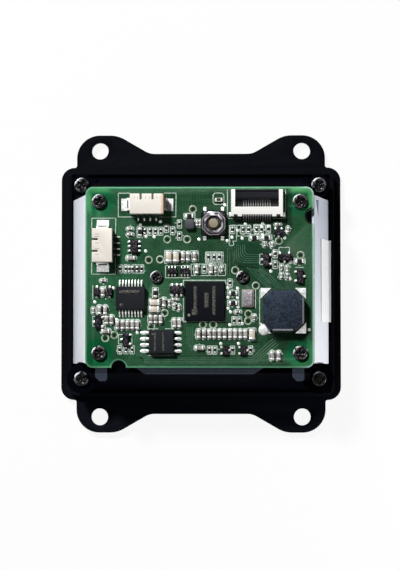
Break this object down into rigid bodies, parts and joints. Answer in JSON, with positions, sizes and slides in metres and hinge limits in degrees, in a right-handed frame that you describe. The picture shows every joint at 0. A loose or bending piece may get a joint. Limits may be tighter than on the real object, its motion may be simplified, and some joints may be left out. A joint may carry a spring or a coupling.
{
  "type": "barcode scan engine",
  "caption": "Fixed-mount optical scan module: black bezel plate with screw ears, window, white light boxes, camera and populated green circuit board on the rear.",
  "frame": {"origin": "centre of the front face of the bezel plate, on which the module lies", "axes": "+Z from the window in front to the circuit board at the rear, +Y along the longer side towards the two upper connectors, +X to the right seen from the rear"},
  "size_m": [0.061, 0.065, 0.0238],
  "materials": {
    "black_housing": "fine moulded satin",
    "window_pane": "polished",
    "black_tape": "matt",
    "white_tray": "smooth satin",
    "milky_sheet": "milky satin",
    "black_steel": "blackened, oily sheen",
    "label_film": "satin film",
    "green_board": "solder mask",
    "grey_film": "smooth film",
    "sensor_package": "matt with glass face",
    "black_holder": "matt",
    "lens_glass": "coated",
    "clear_lens": "moulded clear",
    "light_package": "yellow-white",
    "header_plastic": "natural",
    "connector_white": "natural",
    "black_latch": "satin",
    "tinned_metal": "tinned",
    "contact_metal": "tinned",
    "steel_cover": "stamped",
    "plunger_plastic": "satin",
    "black_chip": "fine grain",
    "buzzer_plastic": "satin",
    "ceramic_base": "matt",
    "grey_core": "matt",
    "resistor_body": "glazed",
    "capacitor_body": "fired",
    "indicator_body": "clear cap"
  },
  "bodies": {
    "engine": {"front_bezel": "black_housing", "window": "window_pane", "window_adhesive": "black_tape", "rear_frame": "black_housing", "light_box_left": "white_tray", "light_box_right": "white_tray", "diffuser_left": "milky_sheet", "diffuser_right": "milky_sheet", "frame_screws": "black_steel", "rating_label": "label_film", "main_board": "green_board", "insulating_film": "grey_film", "board_screws": "black_steel", "holder_screws": "black_steel", "image_sensor": "sensor_package", "lens_holder": "black_holder", "infrared_filter": "lens_glass", "lens_barrel": "black_holder", "front_lens": "lens_glass", "aimer_led": "light_package", "aimer_lens": "clear_lens", "illumination_leds": "light_package", "left_header_housing": "header_plastic", "left_header_pins": "tinned_metal", "left_header_tabs": "tinned_metal", "top_header_housing": "header_plastic", "top_header_pins": "tinned_metal", "top_header_tabs": "tinned_metal", "flat_cable_housing": "connector_white", "flat_cable_contacts": "contact_metal", "flat_cable_tabs": "tinned_metal", "button_base": "black_chip", "button_cover": "steel_cover", "button_dome": "steel_cover", "button_terminals": "tinned_metal", "processor": "black_chip", "serial_driver_body": "black_chip", "serial_driver_leads": "tinned_metal", "flash_memory_body": "black_chip", "flash_memory_leads": "tinned_metal", "crystal_base": "ceramic_base", "crystal_lid": "tinned_metal", "buzzer_body": "buzzer_plastic", "buzzer_terminals": "tinned_metal", "power_inductor": "grey_core", "chip_resistors": "resistor_body", "small_capacitors": "capacitor_body", "chip_capacitors": "capacitor_body", "large_capacitors": "capacitor_body", "indicator_light": "indicator_body", "transistor_bodies": "black_chip", "transistor_leads": "tinned_metal", "logic_chip_bodies": "black_chip", "logic_chip_leads": "tinned_metal", "diode_bodies": "black_chip", "diode_terminals": "tinned_metal"},
    "latch": {"cable_latch": "black_latch"},
    "plunger": {"button_plunger": "plunger_plastic"}
  },
  "joints": [
    {"name": "latch_hinge", "type": "hinge", "parent": "engine", "child": "latch", "pos_m": [0.012, 0.01715, 0.0217], "axis": [1, 0, 0], "range_deg": [0, 90]},
    {"name": "button_press", "type": "slide", "parent": "engine", "child": "plunger", "axis": [0, 0, -1], "range_m": [0, 0.00025], "stiffness_N_per_m": 6400, "deforming": ["button_dome"]}
  ]
}
